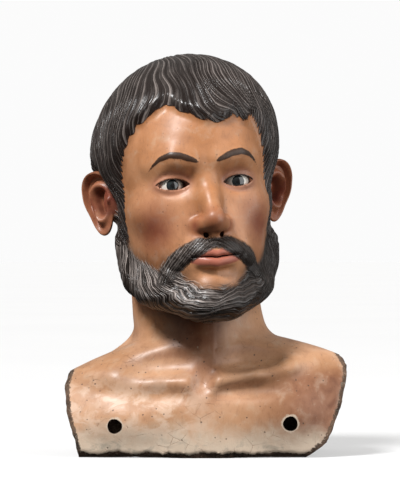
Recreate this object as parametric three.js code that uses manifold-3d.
// Life-size bearded head on a chest cut flat below: one hollow fired-clay solid with two
// glass eyes set behind its lids. Millimetres, +Z up, the chest faces -Y.
//
// The surface is a distance field in a frame of its own: x to the viewer's right, f forward,
// z up from the level of the eyes, head and chest square to each other. Rays from inside the
// body find it, row by row and column by column; the head is then turned and leaned on the
// neck, and the bust is cut to its front outline.
import * as THREE from "three";
import { mergeVertices } from "three/addons/utils/BufferGeometryUtils.js";
import Module from "manifold-3d";

// overall
const EYE_HEIGHT = 263;
const TRUNK_DATUM = 272;
const HEAD_YAW = 12;
const HEAD_ROLL = -4;
const HEAD_PITCH = 3;
const HEAD_SHIFT = -8;
const CROWN_LEAN = 6;
const CHEST_TILT = 0.07;
const TURN_PIVOT = [0, -15, -130];
const TURN_FROM = -195;
const TURN_TO = -118;

// glass eyes
const EYE_CENTRE = [32.8, 75, 0];
const EYE_RADIUS = 13.5;
const EYE_GAP = 0.3;
const LID_HALF_WIDTH = 15.8;
const LID_UPPER = 5.6;
const LID_LOWER = 4.8;

// hollow and peg holes
const WALL = 15;
const HEAD_HOLLOW = { centre: [0, -16, 36], radii: [66, 78, 70] };
const NECK_HOLLOW = { centre: -17, radii: [44, 37] };
const PEG_HOLE_RADIUS = 7;
const PEG_HOLES = [[-86.7, 31.2], [85.6, 33.8]];

// hair and beard
const HAIR_RISE = 10;
const LOCK_RELIEF = 0.17;
const LOCK_RELIEF_MOST = 1.9;
const BEARD_RELIEF = 1.5;
const MM_PER_DEGREE = 1.5;

// mesh density
const MIDDLE_HALF_ANGLE = 28;
const MIDDLE_COLUMNS = 24;
const FRONT_HALF_ANGLE = 48;
const CHEEK_COLUMNS = 4;
const BACK_COLUMNS = 28;
const HOLLOW_COLUMNS = 16;

// half width, front, where it is widest and how square it is, from the forehead to under the chin
const FACE_STATIONS = [
  [-130, 36, 92, 30, 2.0],
  [-112, 47, 101, 24, 2.0],
  [-95, 56, 103, 18, 2.05],
  [-73, 64, 105, 16, 2.05],
  [-45, 69, 102, 16, 2.15],
  [-20, 71, 98, 18, 2.3],
  [4, 69, 97, 20, 2.4],
  [24, 67, 103, 20, 2.5],
  [42, 66, 101, 18, 2.4],
  [62, 61, 94, 14, 2.3],
  [80, 52, 82, 10, 2.2],
  [92, 40, 66, 8, 2.2],
];

// masses and hollows of the head: an egg is its centre and radii, a rod its two ends and radii
const SKULL = [[0, -2, 43], [84, 95, 84]];
const EAR_ROOT = [[72, -5, -6], [12, 13, 20]];
const INNER_BROW = [[11, 94, 21], [31, 91, 27], 5, 5];
const OUTER_BROW = [[31, 91, 27], [49, 73, 21], 5, 4];
const EYE_HOLLOW = [[34, 107, 0], [20, 18, 13]];
const NOSE_SIDE_HOLLOW = [[15, 107, 3], [5, 12, 9]];
const EYE_MASS = [EYE_CENTRE, [17, 15.6, 13.8]];
const CHEEKBONE = [[37, 55, -23], [27, 27, 20]];
const CHEEK_FOLD = [[22, 105.5, -42], [34, 99, -64], 2.5, 2];
const UPPER_BRIDGE = [[0, 91, 8], [0, 103, -16], 5.8, 7];
const LOWER_BRIDGE = [[0, 103, -16], [0, 115.5, -36], 7, 9.2];
const NOSE_TIP = [[0, 116, -38], 9];
const NOSE_WING = [[8.5, 110, -41], [14.5, 99, -42], 6.6, 6.6];
const NOSE_BASE = [[0, 112, -45], [0, 105, -50], 4, 4];
const NOSTRIL = [[7.4, 106, -51], 6, [0.55, 1.05, 0.8]];
const LIP_GROOVE = [[0, 114.5, -53], [0, 118, -64], 4, 5];
const MUZZLE = [[0, 80, -70], [32, 28, 26]];
const MOUTH_CORNER = [[30, 103.5, -73], 3.6];
const CHIN_GROOVE = [[0, 115, -89], [14, 109, -88], 6, 5];
const CHIN = [[0, 90, -104], [21, 18, 15]];

// mouth: height, front and half width of the lips
const MOUTH_HEIGHT = -73;
const MOUTH_FRONT = 112.5;
const MOUTH_HALF = 27;

// neck and chest, the same way
const NECK_MUSCLE = [[50, -14, -60], [11, 46, -190], 8, 5.5];
const THROAT = [[0, 28, -145], [22, 18, 32]];
const SHOULDER_MUSCLE = [[22, -46, -128], [96, -30, -194], 11.5, 11.5];
const COLLAR_BONE = [
  [[15, 60.5, -200], [50, 56, -195], 7, 7],
  [[50, 56, -195], [84, 46, -189], 7, 6.5],
  [[84, 46, -189], [124, 18, -186], 6, 4],
];
const COLLAR_BONE_FILLETS = [8, 9, 12];
const THROAT_PIT = [[0, 72, -193], [8, 14, 12]];
const COLLAR_PIT = [[50, 56, -179], [36, 13, 7.5]];
const BONE_HOLLOW = [[50, 68, -208], [30, 8, 5]];
const BREAST = [[62, 38, -234], [56, 29, 30]];

// lower edge of the hair: azimuth in degrees (0 in front, + to the viewer's right), height;
// the fringe first, then round the ear to the nape, the same on both sides
const FRINGE_EDGE = [
  [-61, -50], [-60, -15], [-57, 10], [-54, 25], [-49, 40], [-46, 50], [-42, 56], [-40, 63],
  [-36, 65], [-33, 70], [-28, 74], [-22, 81], [-18, 78], [-14, 73], [-9, 69], [-4, 64],
  [1, 60.5], [6, 58.5], [11, 59.5], [14, 64], [17, 66], [20.5, 62], [23.5, 59.5], [27, 60.5],
  [29.5, 66], [33, 65], [36, 56], [40, 38], [43.5, 17], [47, -15], [51, -50],
];
const EAR_TO_NAPE_EDGE = [
  [60, -104], [68, -104], [74, -50], [75, -10], [79, 16], [86, 29], [96, 32], [104, 21],
  [108, 2], [111, -20], [116, -50], [128, -68], [150, -74], [180, -72],
];
const HAIR_EDGE = [
  ...EAR_TO_NAPE_EDGE.map(([azimuth, height]) => [-azimuth, height]).reverse(),
  ...FRINGE_EDGE,
  ...EAR_TO_NAPE_EDGE,
];
const HAIR_RAMP = [
  [-180, 12], [-110, 8], [-75, 8], [-62, 12], [-50, 9], [-40, 6], [-28, 5], [-21, 9],
  [-12, 6], [10, 4.5], [20, 4], [30, 5], [40, 9], [50, 14], [75, 8], [110, 8], [180, 12],
];

// upper edge of the beard from ear to ear; its rise and its softness from the chin to the ear
const BEARD_EDGE = [
  [-101, -150], [-99, -100], [-95, -44], [-91, -22], [-84, -20], [-78, -18], [-74, -4], [-71, 12],
  [-66, 10], [-64, -20], [-62, -54], [-57, -62], [-50, -66.5], [-42, -71], [-36, -77],
  [-32, -78], [-28, -72], [-23, -72], [-19, -80], [-15, -92], [-9, -100], [0, -102],
  [9, -100], [15, -92], [19, -80], [22, -73], [26, -75], [30, -80], [34, -79], [39, -73],
  [45, -66], [51, -52], [53, -20], [57, 10], [62, 12], [66, -8], [71, -24], [80, -27],
  [89, -30], [95, -52], [99, -104], [101, -150],
];
const BEARD_RISE = [[0, 14], [20, 16], [40, 20], [55, 22], [70, 20], [78, 17], [85, 12.5], [92, 8], [101, 0]];
const BEARD_RAMP = [[0, 26], [20, 22], [45, 34], [60, 50], [70, 40], [78, 40], [85, 26]];

// front outline the bust is cut to: x, height over the base
const CUT_OUTLINE = [
  [-122.4, 0], [-124, 6], [-127.4, 19.9], [-134.3, 44.8], [-136.3, 69.7], [-132.3, 84.6],
  [-124, 130], [-150, 140], [-150, 440], [150, 440], [150, 140], [130, 112], [136.3, 100.5], [142.3, 89.6],
  [142.3, 79.6], [141.3, 74.6], [136.3, 49.8], [129, 32], [121.4, 14.9], [101.5, 0],
];
const HOLLOW_OUTLINE = [
  [-105, -20], [-108, 20], [-115, 45], [-117, 68], [-113, 90], [-100, 130], [-100, 440],
  [105, 440], [108, 110], [117, 98], [122, 84], [116, 50], [106, 28], [82, 0], [82, -20],
];

// ear: outline radius over the angle (0 backward, 90 up) and the lie of the ear on the head
const EAR_OUTLINE = [
  [0, 19.5], [30, 23], [50, 29], [68, 33], [90, 32], [120, 25], [150, 18], [180, 15], [210, 14.5],
  [240, 18.5], [258, 26], [270, 34], [283, 36], [298, 28.5], [315, 21.5], [335, 19], [360, 19.5],
];
const EARS = [
  { mirror: -1, centre: [86, -5, -5], spread: 44, lean: 8 },
  { mirror: 1, centre: [90, -5, -3], spread: 56, lean: 17 },
];
const EAR_STEPS = 18;

const rad = (degrees) => (degrees * Math.PI) / 180;
const deg = (radians) => (radians * 180) / Math.PI;
const clamp = (v, lo, hi) => Math.min(hi, Math.max(lo, v));

function blend(lo, hi, v) {
  const t = clamp((v - lo) / (hi - lo), 0, 1);
  return t * t * (3 - 2 * t);
}

function softMin(a, b, k) {
  const h = clamp(0.5 + (0.5 * (b - a)) / k, 0, 1);
  return b + (a - b) * h - k * h * (1 - h);
}

const softMax = (a, b, k) => -softMin(-a, -b, k);
const bump = (v, width) => Math.exp(-((v / width) ** 2));

function table(rows, at) {
  if (at <= rows[0][0]) return rows[0][1];
  for (let i = 1; i < rows.length; i += 1) {
    if (at <= rows[i][0]) {
      const [a, va] = rows[i - 1];
      const [b, vb] = rows[i];
      return va + ((vb - va) * (at - a)) / (b - a);
    }
  }
  return rows[rows.length - 1][1];
}

function ellipsoid(x, f, z, centre, radii) {
  const a = x - centre[0];
  const b = f - centre[1];
  const c = z - centre[2];
  const k0 = Math.hypot(a / radii[0], b / radii[1], c / radii[2]);
  const k1 = Math.hypot(a / radii[0] ** 2, b / radii[1] ** 2, c / radii[2] ** 2) + 1e-9;
  return (k0 * (k0 - 1)) / k1;
}

const sphere = (x, f, z, centre, radius) => Math.hypot(x - centre[0], f - centre[1], z - centre[2]) - radius;

function cone(x, f, z, a, b, ra, rb) {
  const ab = [b[0] - a[0], b[1] - a[1], b[2] - a[2]];
  const q = [x - a[0], f - a[1], z - a[2]];
  const along = (q[0] * ab[0] + q[1] * ab[1] + q[2] * ab[2]) / (ab[0] ** 2 + ab[1] ** 2 + ab[2] ** 2);
  const h = clamp(along, 0, 1);
  return Math.hypot(q[0] - ab[0] * h, q[1] - ab[1] * h, q[2] - ab[2] * h) - (ra + (rb - ra) * h);
}

// smooth curve through the face stations
function faceSection(z) {
  const s = FACE_STATIONS;
  const last = s.length - 1;
  const zc = clamp(z, s[0][0], s[last][0]);
  let i = 0;
  while (i < last - 1 && zc > s[i + 1][0]) i += 1;
  const h = s[i + 1][0] - s[i][0];
  const t = (zc - s[i][0]) / h;
  const slope = (j, k) => {
    if (j === 0) return (s[1][k] - s[0][k]) / (s[1][0] - s[0][0]);
    if (j === last) return (s[last][k] - s[last - 1][k]) / (s[last][0] - s[last - 1][0]);
    const hd = s[j + 1][0] - s[j][0];
    const hs = s[j][0] - s[j - 1][0];
    const up = (s[j + 1][k] - s[j][k]) / hd;
    const down = (s[j][k] - s[j - 1][k]) / hs;
    return (hs * up + hd * down) / (hs + hd);
  };
  return [1, 2, 3, 4].map((k) => (2 * t ** 3 - 3 * t ** 2 + 1) * s[i][k]
    + (t ** 3 - 2 * t ** 2 + t) * h * slope(i, k)
    + (-2 * t ** 3 + 3 * t ** 2) * s[i + 1][k]
    + (t ** 3 - t ** 2) * h * slope(i + 1, k));
}

function faceBody(ax, f, z) {
  const [half, front, mid, n] = faceSection(z);
  const reach = f > mid ? front - mid : mid + 70;
  const u = ax / half;
  const w = Math.abs(f - mid) / reach;
  const k = (u ** n + w ** n + 1e-9) ** (1 / n);
  const g = Math.hypot(u ** (n - 1) / half, w ** (n - 1) / reach) * k ** (1 - n) + 1e-9;
  let d = (k - 1) / Math.max(g, 1 / 90);
  d = softMax(d, -(z + 121 - 0.42 * (100 - f)) * 0.922, 24);
  return softMax(d, z - 90, 14);
}

// bare head: skull, brow, cheeks, nose, lips and chin
function face(ax, f, z) {
  let d = ellipsoid(ax, f, z, ...SKULL);
  d = softMin(d, faceBody(ax, f, z), 10);
  const brow = softMin(cone(ax, f, z, ...INNER_BROW), cone(ax, f, z, ...OUTER_BROW), 4);
  d = softMin(d, brow, 13);
  d = softMin(d, ellipsoid(ax, f, z, ...MUZZLE), 14);
  d = softMax(d, -ellipsoid(ax, f, z, ...EYE_HOLLOW), 11);
  d = softMax(d, -ellipsoid(ax, f, z, ...NOSE_SIDE_HOLLOW), 8);
  d = softMin(d, ellipsoid(ax, f, z, ...CHEEKBONE), 15);
  d = softMin(d, ellipsoid(ax, f, z, ...EYE_MASS), 4);
  d = softMin(d, ellipsoid(ax, f, z, ...EAR_ROOT), 8);
  const bridge = softMin(cone(ax, f, z, ...UPPER_BRIDGE), cone(ax, f, z, ...LOWER_BRIDGE), 8);
  d = softMin(d, bridge, 13);
  let wings = cone(ax, f, z, ...NOSE_WING);
  wings = softMin(wings, sphere(ax, f, z, ...NOSE_TIP), 7);
  wings = softMin(wings, cone(ax, f, z, ...NOSE_BASE), 5);
  d = softMin(d, wings, 4.5);
  d = softMax(d, -cone(ax, f, z, ...LIP_GROOVE), 3);
  d = softMin(d, ellipsoid(ax, f, z, ...CHIN), 12);
  d = softMax(d, -cone(ax, f, z, ...CHIN_GROOVE), 8);
  d = softMin(d, lips(ax, f, z), 2.5);
  d = softMax(d, -sphere(ax, f, z, ...MOUTH_CORNER), 5);
  return softMax(d, -cone(ax, f, z, ...CHEEK_FOLD), 9);
}

// height of the line between the lips
const seamHeight = (ax) => MOUTH_HEIGHT + 0.8 * (ax / MOUTH_HALF) ** 2 - bump(ax, 4);

function lips(ax, f, z) {
  const arc = MOUTH_FRONT - 12 * (ax / MOUTH_HALF) ** 2;
  const seam = seamHeight(ax);
  const taper = Math.sqrt(clamp(1 - (ax / (MOUTH_HALF + 2)) ** 2, 0.02, 1));
  const peak = 0.8 * bump(ax - 6, 5);
  let upper = Math.hypot((f - arc + 3.5) / 1.1, (z - seam - 3.4 * taper - peak) / 0.9) - 5 * taper;
  let lower = Math.hypot((f - arc + 4.5) / 1.05, z - seam + 4.8 * taper) - 5.8 * taper;
  upper = softMax(upper, ax - MOUTH_HALF - 1, 2);
  lower = softMax(lower, ax - MOUTH_HALF + 1, 3);
  return softMin(upper, lower, 0.8);
}

// distance to an edge line in the unrolled plane of azimuth and height
function edgeDistance(line, azimuth, z) {
  let best = 1e9;
  for (let i = 1; i < line.length; i += 1) {
    const [pa, pz] = line[i - 1];
    const ex = (line[i][0] - pa) * MM_PER_DEGREE;
    const ez = line[i][1] - pz;
    const wx = (azimuth - pa) * MM_PER_DEGREE;
    const wz = z - pz;
    const t = clamp((wx * ex + wz * ez) / (ex * ex + ez * ez), 0, 1);
    best = Math.min(best, Math.hypot(wx - ex * t, wz - ez * t));
  }
  return best;
}

function hairRise(x, f, z) {
  const azimuth = deg(Math.atan2(x, f + 8));
  const inside = z > table(HAIR_EDGE, azimuth) ? 1 : -1;
  const q = clamp((inside * edgeDistance(HAIR_EDGE, azimuth, z)) / table(HAIR_RAMP, azimuth), 0, 1);
  const low = 1 - blend(-30, 35, z);
  const side = 1 - blend(80, 115, Math.abs(azimuth));
  const sideburn = 1 - blend(74, 100, Math.abs(azimuth));
  const full = (HAIR_RISE - 2 * low - 3.5 * low * side) * (1 - blend(30, 90, -z) * sideburn);
  return Math.sqrt(q * (2 - q)) * full;
}

function beardRise(x, f, z) {
  const azimuth = deg(Math.atan2(x, f + 8));
  const side = Math.abs(azimuth);
  const inside = z > table(BEARD_EDGE, azimuth) ? -1 : 1;
  const t = blend(0, 1, (inside * edgeDistance(BEARD_EDGE, azimuth, z)) / table(BEARD_RAMP, side));
  const rise = t * table(BEARD_RISE, side) * (0.5 + 0.5 * blend(10, 56, -z));
  const across = side * MM_PER_DEGREE;
  const ring = Math.hypot(across, z + 62);
  const turn = Math.atan2(across, -(z + 62));
  const wave = Math.sin(((ring + 3 * Math.sin(turn * 6 + ring / 9)) * 2 * Math.PI) / 13);
  return rise + BEARD_RELIEF * wave * clamp(rise / 5, 0, 1);
}

function moustacheRise(ax, f, z) {
  const line = -56 - 15 * (ax / 33) ** 2;
  const narrow = 1 - 0.25 * blend(18, 38, ax);
  const cover = 10.5 - Math.abs(z - line) * narrow - clamp(ax - 43, 0, 99) * 0.8;
  return 3 * blend(0, 8, cover) * blend(30, 50, f);
}

function neck(x, f, z) {
  const ax = Math.abs(x);
  const t = clamp((-z - 60) / 130, 0, 1);
  const rx = 62 + 6 * t;
  const rf = 53 + 6 * t;
  let d = (Math.hypot((x - 6 * t) / rx, (f + 9 + 13 * t) / rf) - 1) * Math.min(rx, rf);
  d = softMax(d, z + 10, 10);
  d = softMin(d, cone(ax, f, z, ...NECK_MUSCLE), 14);
  return softMin(d, ellipsoid(ax, f, z, ...THROAT), 18);
}

// plain mass of chest and shoulders: top line, depth front to back, rounded over
function shoulders(ax, f, height) {
  const over = Math.max(ax - 30, 0);
  const top = 115 - 0.3 * (Math.sqrt(over ** 2 + 100) - 40);
  const depth = 84 - 0.14 * Math.sqrt(ax ** 2 + 900);
  const k = (ax / 190) ** 6 + (Math.abs(f + 8) / depth) ** 2.6
    + (Math.max(height + 60, 0) / (top + 60)) ** 4.5;
  return (k ** (1 / 2.6) - 1) * 64;
}

// shoulders, collar bones and chest; heights here run from the trunk's own datum
function trunk(x, f, height) {
  const ax = Math.abs(x);
  const z = height - TRUNK_DATUM;
  let d = shoulders(ax, f, height);
  d = softMin(d, cone(ax, f, z, ...SHOULDER_MUSCLE), 12);
  COLLAR_BONE.forEach((rod, i) => {
    d = softMin(d, cone(ax, f, z, ...rod), COLLAR_BONE_FILLETS[i]);
  });
  d = softMin(d, ellipsoid(ax, f, z, ...BREAST), 14);
  d = softMax(d, -ellipsoid(ax, f, z, ...BONE_HOLLOW), 10);
  d = softMax(d, -ellipsoid(ax, f, z, ...THROAT_PIT), 10);
  return softMax(d, -ellipsoid(ax, f, z, ...COLLAR_PIT), 11);
}

// the whole body; lock is the relief of the hair on this ray
function body(x, f, z, lock) {
  const ax = Math.abs(x);
  const hair = hairRise(x, f, z);
  const locks = hair + lock * clamp(hair / 6, 0, 1);
  const rise = Math.max(softMax(locks, beardRise(x, f, z), 3), moustacheRise(ax, f, z));
  let d = face(ax, f, z) - rise;
  d = softMin(d, neck(x, f, z), 6);
  return softMin(d, trunk(x, f, z + EYE_HEIGHT), 10);
}

// the hollow: a dome in the skull, a shaft in the neck, a chamber in the chest
function hollow(x, f, z) {
  let d = ellipsoid(x, f, z, HEAD_HOLLOW.centre, HEAD_HOLLOW.radii);
  const [rx, rf] = NECK_HOLLOW.radii;
  let shaft = (Math.hypot(x / rx, (f - NECK_HOLLOW.centre) / rf) - 1) * rf;
  shaft = softMax(shaft, z - 40, 10);
  d = softMin(d, shaft, 12);
  return softMin(d, shoulders(Math.abs(x), f, z + EYE_HEIGHT) + WALL, 20);
}

// first crossing of the surface on a ray from inside
function cast(field, origin, direction) {
  let r = 0;
  for (let i = 0; i < 400; i += 1) {
    const p = origin.map((o, k) => o + direction[k] * r);
    const d = field(p[0], p[1], p[2]);
    if (d > -0.02) break;
    r += Math.max(-d * 0.7, 0.04);
  }
  return origin.map((o, k) => o + direction[k] * r);
}

function direction(azimuth, elevation, tilt) {
  const e = rad(elevation);
  const a = rad(azimuth);
  const v = [Math.cos(e) * Math.sin(a), Math.cos(e) * Math.cos(a), Math.sin(e)];
  const t = rad(tilt);
  return [v[0], v[1] * Math.cos(t) - v[2] * Math.sin(t), v[1] * Math.sin(t) + v[2] * Math.cos(t)];
}

// columns round the body, close together over the face, with the phase of the locks on each
function bodyColumns() {
  const columns = [];
  const cheek = FRONT_HALF_ANGLE - MIDDLE_HALF_ANGLE;
  const spans = [
    [-FRONT_HALF_ANGLE, cheek, CHEEK_COLUMNS, Math.PI / 2],
    [-MIDDLE_HALF_ANGLE, 2 * MIDDLE_HALF_ANGLE, MIDDLE_COLUMNS, Math.PI / 2],
    [MIDDLE_HALF_ANGLE, cheek, CHEEK_COLUMNS, Math.PI / 2],
    [FRONT_HALF_ANGLE, 360 - 2 * FRONT_HALF_ANGLE, BACK_COLUMNS, Math.PI],
  ];
  let phase = 0;
  for (const [from, width, count, advance] of spans) {
    for (let i = 0; i < count; i += 1) {
      const pitch = (width / count) * (Math.PI / advance);
      columns.push({ azimuth: from + (width * i) / count, phase, pitch });
      phase += advance;
    }
  }
  return columns;
}

function evenColumns(count) {
  const column = (_, i) => ({ azimuth: (i * 360) / count, phase: Math.PI / 2, pitch: 0 });
  return Array.from({ length: count }, column);
}

// rows down the body: fan from the middle of the head, slide down the neck, fan over the trunk
const side = (azimuth) => (1 - Math.cos(rad(azimuth))) / 2;

function throatElevation(azimuth) {
  const s = side(azimuth);
  return -68 + 26 * s ** 0.8;
}

function headRow(azimuth, t, centre, crownTilt) {
  const low = throatElevation(azimuth);
  const elevation = t >= 0 ? t : t * (-low / 90);
  return {
    origin: centre,
    direction: direction(azimuth, elevation, crownTilt * blend(5, 85, elevation)),
  };
}

function neckRow(azimuth, t, centre) {
  const s = side(azimuth);
  const end = -162 + 36 * Math.min(1, s * 2) ** 0.8;
  const z = centre[2] + (end - centre[2]) * t;
  return {
    origin: [0, centre[1] - 8 * t, z],
    direction: direction(azimuth, throatElevation(azimuth) * (1 - t * t), 0),
  };
}

function trunkRow(azimuth, t, from, centre, drop) {
  const flat = Math.hypot(from[0] - centre[0], from[1] - centre[1]);
  const start = deg(Math.atan2(from[2] - centre[2], flat));
  const around = deg(Math.atan2(from[0] - centre[0], from[1] - centre[1]));
  const reach = 75 + 115 * Math.abs(Math.sin(rad(azimuth))) ** 1.5;
  const end = -deg(Math.atan2(drop, reach));
  const turn = around + angleBetween(around, azimuth) * Math.min(1, t * 2);
  return { origin: centre, direction: direction(turn, start + (end - start) * t, 0) };
}

function angleBetween(from, to) {
  return ((((to - from) % 360) + 540) % 360) - 180;
}

// closed surface round the vertical; rows marked close get a half row over the face as well
function gridSurface(field, columns, rows, shape) {
  const headCentre = [0, -5, -10];
  const trunkCentre = [0, -10, 34 - EYE_HEIGHT];
  const points = [];
  const loops = [];
  const put = (p) => points.push(p) - 1;
  const plain = (x, f, z) => field(x, f, z, 0);
  const onHead = (c, t) => {
    const ray = headRow(c.azimuth, t, headCentre, shape.crownTilt);
    const spacing = 95 * rad(c.pitch) * Math.cos(rad(t));
    const lock = Math.min(LOCK_RELIEF * spacing, LOCK_RELIEF_MOST) * Math.cos(c.phase);
    return put(cast((x, f, z) => field(x, f, z, lock), ray.origin, ray.direction));
  };
  const crown = put(cast(plain, headCentre, direction(0, 90, shape.crownTilt)));
  const halves = [];
  rows.head.forEach((t, r) => {
    loops.push(columns.map((c) => onHead(c, t)));
    const next = rows.head[r + 1];
    const close = next !== undefined && t <= shape.closeFrom && next >= shape.closeTo;
    const half = (c, i) => (i <= shape.closeColumns ? onHead(c, (t + next) / 2) : -1);
    halves.push(close ? columns.map(half) : null);
  });
  for (const t of rows.neck) {
    loops.push(columns.map((c) => {
      const ray = neckRow(c.azimuth, t, headCentre);
      return put(cast(plain, ray.origin, ray.direction));
    }));
  }
  const collar = loops[loops.length - 1].map((i) => points[i]);
  for (const t of rows.trunk) {
    loops.push(columns.map((c, i) => {
      const ray = trunkRow(c.azimuth, t, collar[i], trunkCentre, shape.drop);
      return put(cast(plain, ray.origin, ray.direction));
    }));
  }
  const foot = put([trunkCentre[0], trunkCentre[1], trunkCentre[2] - shape.drop - 10]);
  return closeLoops(points, loops, crown, foot, halves);
}

// triangles over loops of equal length between a first and a last point
function closeLoops(points, loops, first, last, halves = []) {
  const triangles = [];
  const n = loops[0].length;
  const gap = (p, q) => Math.hypot(...points[p].map((v, k) => v - points[q][k]));
  const quad = (a, b, c, d) => {
    if (gap(a, c) <= gap(b, d)) triangles.push([a, b, c], [a, c, d]);
    else triangles.push([a, b, d], [b, c, d]);
  };
  for (let i = 0; i < n; i += 1) {
    const j = (i + 1) % n;
    triangles.push([first, loops[0][j], loops[0][i]]);
    triangles.push([last, loops[loops.length - 1][i], loops[loops.length - 1][j]]);
  }
  for (let r = 1; r < loops.length; r += 1) {
    const half = halves[r - 1];
    for (let i = 0; i < n; i += 1) {
      const j = (i + 1) % n;
      const [a, b, c, d] = [loops[r - 1][i], loops[r - 1][j], loops[r][j], loops[r][i]];
      const left = half ? half[i] : -1;
      const right = half ? half[j] : -1;
      if (left >= 0 && right >= 0) {
        quad(a, b, right, left);
        quad(left, right, c, d);
      } else if (left >= 0) triangles.push([a, b, left], [left, b, c], [left, c, d]);
      else if (right >= 0) triangles.push([a, b, right], [a, right, d], [d, right, c]);
      else quad(a, b, c, d);
    }
  }
  return { points, triangles };
}

function range(from, to, count, skipFirst = false) {
  const out = [];
  for (let i = skipFirst ? 1 : 0; i < count; i += 1) out.push(from + ((to - from) * i) / (count - 1));
  return out;
}

// ear: a closed pillow with the bowl, the inner fold, the groove and the rolled rim in front
function earFront(s, angle) {
  const near = (centre, width) => bump(((((angle - centre) % 360) + 540) % 360) - 180, width);
  const rim = clamp(1 - near(270, 50) - near(205, 38), 0, 1);
  let h = -10 * (1 - blend(0.22, 0.5, s));
  h += 3.6 * bump(s - 0.56, 0.1) * near(20, 70) - 5 * bump(s - 0.75, 0.12) * near(55, 65);
  h += 4 * bump(s - 0.94, 0.09) * rim;
  h += 5 * bump(s - 0.66, 0.2) * near(185, 32);
  h += 4.2 * bump(s - 0.58, 0.13) * near(286, 25);
  return h + 1.5;
}

const earBack = (s) => -2 - 7 * (1 - blend(0.2, 0.8, s));

function ear({ mirror, centre, spread, lean }) {
  const points = [];
  const place = (s, angle, out) => {
    const r = table(EAR_OUTLINE, angle) * s;
    const a0 = r * Math.cos(rad(angle));
    const b0 = r * Math.sin(rad(angle));
    const a = a0 * Math.cos(rad(lean)) + b0 * Math.sin(rad(lean));
    const b = b0 * Math.cos(rad(lean)) - a0 * Math.sin(rad(lean));
    points.push([
      mirror * (centre[0] + a * Math.sin(rad(spread)) + out * Math.cos(rad(spread))),
      centre[1] - a * Math.cos(rad(spread)) + out * Math.sin(rad(spread)),
      centre[2] + b,
    ]);
    return points.length - 1;
  };
  const angles = Array.from({ length: EAR_STEPS }, (_, i) => (i * 360) / EAR_STEPS);
  const first = place(0, 0, earFront(0, 0));
  const loops = [];
  for (const s of [0.3, 0.5, 0.62, 0.78, 0.93]) loops.push(angles.map((g) => place(s, g, earFront(s, g))));
  loops.push(angles.map((g) => place(1, g, 0.6)));
  for (const s of [0.94, 0.55]) loops.push(angles.map((g) => place(s, g, earBack(s))));
  const last = place(0, 0, earBack(0));
  return closeLoops(points, loops, first, last);
}

function ball(centre, radius, columns = 14, rows = 7, stretch = [1, 1, 1]) {
  const points = [];
  const at = (azimuth, elevation) => points.push(
    direction(azimuth, elevation, 0).map((v, k) => centre[k] + radius * stretch[k] * v)) - 1;
  const first = at(0, 90);
  const loops = [];
  for (let r = 1; r < rows; r += 1) {
    loops.push(Array.from({ length: columns }, (_, i) => at((i * 360) / columns, 90 - (180 * r) / rows)));
  }
  const last = at(0, -90);
  return closeLoops(points, loops, first, last);
}

// almond opening between the lids, from inside the eye socket out past the face
function lidOpening(mirror) {
  const points = [];
  const outline = [];
  const steps = 9;
  for (let i = 0; i <= steps; i += 1) outline.push([-Math.cos((Math.PI * i) / steps), 1]);
  for (let i = steps - 1; i > 0; i -= 1) outline.push([-Math.cos((Math.PI * i) / steps), -1]);
  const ring = (depthAt) => outline.map(([s, way]) => {
    const q = clamp(1 - s * s, 0, 1);
    const rise = way > 0 ? LID_UPPER * q ** 0.75 : -LID_LOWER * q ** 0.9;
    return points.push([mirror * (33 + s * LID_HALF_WIDTH), depthAt(s), 0.5 * s + rise]) - 1;
  });
  const outer = ring(() => 112);
  const inner = ring((s) => 80 + 3.5 * s * s);
  const first = points.push([mirror * 33, 112, 0]) - 1;
  const last = points.push([mirror * 33, 80, 0]) - 1;
  return closeLoops(points, [outer, inner], first, last);
}

// thin curved slot between the closed lips
function lipLine() {
  const points = [];
  const outline = [];
  const steps = 14;
  const half = MOUTH_HALF - 0.5;
  for (let i = 0; i <= steps; i += 1) outline.push([-1 + (2 * i) / steps, 1]);
  for (let i = steps - 1; i > 0; i -= 1) outline.push([-1 + (2 * i) / steps, -1]);
  const ring = (depthAt) => outline.map(([s, way]) => {
    const open = 0.7 * (1 - s * s) * way;
    return points.push([s * half, depthAt(s), seamHeight(s * half) + open]) - 1;
  });
  const outer = ring(() => 124);
  const inner = ring((s) => 110 - 12 * s * s);
  const first = points.push([0, 124, -74]) - 1;
  const last = points.push([0, 110, -74]) - 1;
  return closeLoops(points, [outer, inner], first, last);
}

function cylinderAlongF(x, z, radius, from, to, sides = 24) {
  const points = [];
  const ring = (f) => Array.from({ length: sides }, (_, i) => {
    const a = (i * 2 * Math.PI) / sides;
    return points.push([x + radius * Math.cos(a), f, z + radius * Math.sin(a)]) - 1;
  });
  const outer = ring(to);
  const inner = ring(from);
  const first = points.push([x, to, z]) - 1;
  const last = points.push([x, from, z]) - 1;
  return closeLoops(points, [outer, inner], first, last);
}

// closed prism of an outline in x and height, over the whole depth
function outlinePrism(outline, from, to) {
  const contour = outline.map(([x, h]) => new THREE.Vector2(x, h));
  if (THREE.ShapeUtils.area(contour) < 0) contour.reverse();
  const faces = THREE.ShapeUtils.triangulateShape(contour, []);
  const n = contour.length;
  const points = [];
  for (const f of [to, from]) for (const c of contour) points.push([c.x, f, c.y - EYE_HEIGHT]);
  const triangles = [];
  for (const [a, b, c] of faces) {
    triangles.push([a, b, c], [a + n, c + n, b + n]);
  }
  for (let i = 0; i < n; i += 1) {
    const j = (i + 1) % n;
    triangles.push([i, i + n, j + n], [i, j + n, j]);
  }
  return { points, triangles };
}

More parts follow.
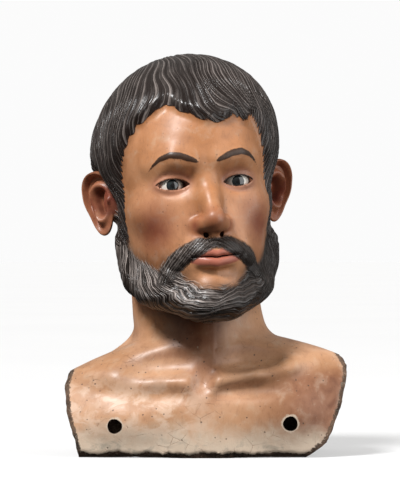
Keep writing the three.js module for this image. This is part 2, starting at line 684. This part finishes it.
// turn and lean the head on the neck, and tilt the chest a little
function pose([x0, f0, z0]) {
  const w = blend(TURN_FROM, TURN_TO, z0);
  const yaw = rad(HEAD_YAW * w);
  const roll = rad(HEAD_ROLL * w);
  const pitch = rad(HEAD_PITCH * w);
  let x = x0 + CROWN_LEAN * blend(20, 120, z0) - TURN_PIVOT[0];
  let f = f0 - TURN_PIVOT[1];
  let z = z0 - TURN_PIVOT[2];
  [f, z] = [f * Math.cos(pitch) - z * Math.sin(pitch), f * Math.sin(pitch) + z * Math.cos(pitch)];
  [x, f] = [x * Math.cos(yaw) + f * Math.sin(yaw), f * Math.cos(yaw) - x * Math.sin(yaw)];
  [x, z] = [x * Math.cos(roll) + z * Math.sin(roll), z * Math.cos(roll) - x * Math.sin(roll)];
  x += TURN_PIVOT[0] + HEAD_SHIFT * w;
  f += TURN_PIVOT[1];
  z += TURN_PIVOT[2];
  z += CHEST_TILT * x * blend(0, 70, z + EYE_HEIGHT) * (1 - w);
  return [x, f, z];
}

const wasm = await Module();
wasm.setup();

function solid({ points, triangles }) {
  const verts = new Float32Array(points.flatMap(([x, f, z]) => [x, -f, z + EYE_HEIGHT]));
  let volume = 0;
  const v = (i, k) => verts[i * 3 + k];
  for (const [a, b, c] of triangles) {
    volume += v(a, 0) * (v(b, 1) * v(c, 2) - v(b, 2) * v(c, 1))
      - v(a, 1) * (v(b, 0) * v(c, 2) - v(b, 2) * v(c, 0))
      + v(a, 2) * (v(b, 0) * v(c, 1) - v(b, 1) * v(c, 0));
  }
  const wound = volume < 0 ? triangles.map(([a, b, c]) => [a, c, b]) : triangles;
  const geometry = new THREE.BufferGeometry();
  geometry.setAttribute("position", new THREE.BufferAttribute(verts, 3));
  geometry.setIndex(wound.flat());
  const welded = mergeVertices(geometry, 1e-4);
  return new wasm.Manifold(new wasm.Mesh({
    numProp: 3,
    vertProperties: Float32Array.from(welded.getAttribute("position").array),
    triVerts: Uint32Array.from(welded.getIndex().array),
  }));
}

function posed(shape) {
  return { points: shape.points.map(pose), triangles: shape.triangles };
}

const BODY_ROWS = {
  head: [...range(83, 43, 6), ...range(37, 1, 9), ...range(-3.5, -75, 16), -82, -90],
  neck: [0.28, 0.55, 0.8, 1],
  trunk: [0.12, 0.28, 0.48, 0.74, 1],
};
const BODY_SHAPE = {
  crownTilt: 22,
  closeFrom: 40,
  closeTo: -76,
  closeColumns: MIDDLE_COLUMNS + 2 * CHEEK_COLUMNS,
  drop: 42,
};
const HOLLOW_ROWS = {
  head: [62, 30, -10, -60],
  neck: [0.5, 1],
  trunk: [0.25, 0.5, 0.75, 1],
};
const HOLLOW_SHAPE = { crownTilt: 0, closeFrom: -91, closeTo: 0, closeColumns: 0, drop: 170 };

function headBust() {
  let clay = solid(posed(gridSurface(body, bodyColumns(), BODY_ROWS, BODY_SHAPE)));
  for (const mirror of [-1, 1]) {
    clay = clay.add(solid(posed(ear(EARS.find((side) => side.mirror === mirror)))));
    const centre = [mirror * EYE_CENTRE[0], EYE_CENTRE[1], EYE_CENTRE[2]];
    clay = clay.subtract(solid(posed(ball(centre, EYE_RADIUS + EYE_GAP))));
    clay = clay.subtract(solid(posed(lidOpening(mirror))));
    const [[across, front, up], radius, stretch] = NOSTRIL;
    clay = clay.subtract(solid(posed(ball([mirror * across, front, up], radius, 8, 6, stretch))));
  }
  clay = clay.subtract(solid(posed(lipLine())));
  clay = clay.intersect(solid(outlinePrism(CUT_OUTLINE, -160, 160)));
  let inside = solid(posed(gridSurface(hollow, evenColumns(HOLLOW_COLUMNS), HOLLOW_ROWS, HOLLOW_SHAPE)));
  inside = inside.intersect(solid(outlinePrism(HOLLOW_OUTLINE, -160, 160)));
  clay = clay.subtract(inside);
  for (const [x, h] of PEG_HOLES) {
    clay = clay.subtract(solid(cylinderAlongF(x, h - EYE_HEIGHT, PEG_HOLE_RADIUS, 0, 110)));
  }
  return clay;
}

function glassEye(mirror) {
  const centre = [mirror * EYE_CENTRE[0], EYE_CENTRE[1], EYE_CENTRE[2]];
  return solid(posed(ball(centre, EYE_RADIUS)));
}

function meshOf(name, manifold, colour, roughness) {
  const source = manifold.getMesh();
  const geometry = new THREE.BufferGeometry();
  const positions = [];
  for (let i = 0; i < source.vertProperties.length; i += source.numProp) {
    positions.push(...source.vertProperties.slice(i, i + 3));
  }
  geometry.setAttribute("position", new THREE.Float32BufferAttribute(positions, 3));
  geometry.setIndex(Array.from(source.triVerts));
  geometry.computeVertexNormals();
  const material = new THREE.MeshStandardMaterial({ color: colour, roughness, metalness: 0 });
  const mesh = new THREE.Mesh(geometry, material);
  mesh.name = name;
  return mesh;
}

const group = new THREE.Group();
group.name = "polychrome_head";
group.add(meshOf("head_bust", headBust(), 0xb98a62, 0.45));
group.add(meshOf("left_eye", glassEye(1), 0xe6e2d8, 0.08));
group.add(meshOf("right_eye", glassEye(-1), 0xe6e2d8, 0.08));

// the origin is the middle of the underside
const extent = new THREE.Box3().setFromObject(group);
const middle = extent.getCenter(new THREE.Vector3());
group.position.set(-middle.x, -middle.y, -extent.min.z);

export default group;
